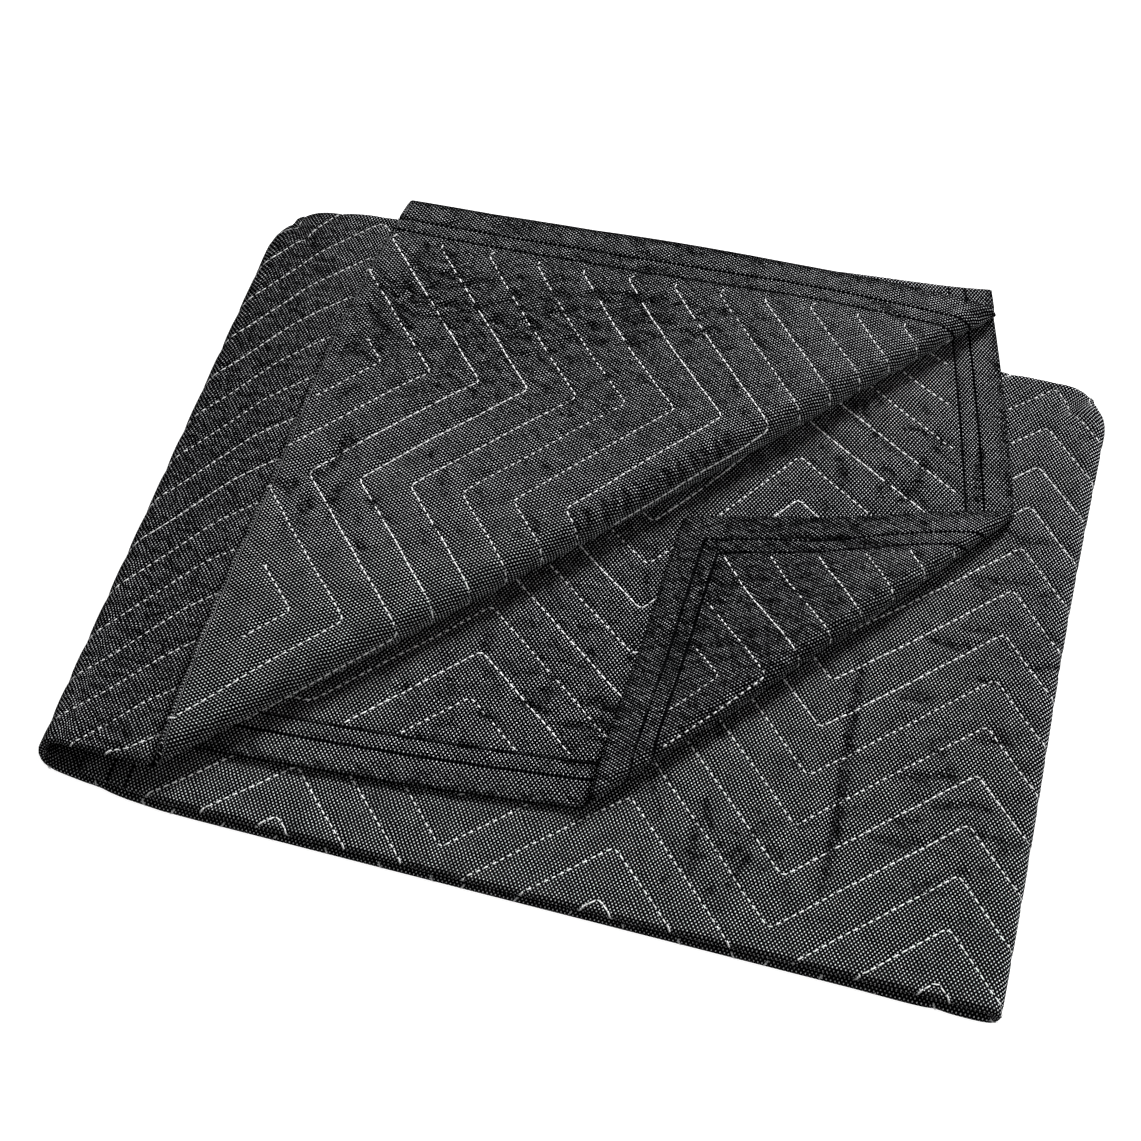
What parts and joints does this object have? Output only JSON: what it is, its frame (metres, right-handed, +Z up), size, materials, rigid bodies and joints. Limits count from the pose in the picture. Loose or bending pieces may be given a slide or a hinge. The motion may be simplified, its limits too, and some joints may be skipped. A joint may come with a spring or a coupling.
{
  "type": "folded quilted moving blanket",
  "caption": "Quilted moving blanket folded flat into a low pile, with zigzag quilting, stitched hems and two corners of its upper layers turned back.",
  "frame": {"origin": "centre of the pile's outline seen from above, on the surface it rests on", "axes": "+X along the long front edge of the pile, towards the side fold opposite the thick rolled side fold; +Y from the open front edge to the back; +Z up"},
  "size_m": [0.711, 0.6502, 0.0496],
  "materials": {
    "quilted_cloth": "matte black and grey woven cotton and polyester with a fine light dot weave"
  },
  "bodies": {
    "root": {"blanket": "quilted_cloth"}
  },
  "joints": []
}
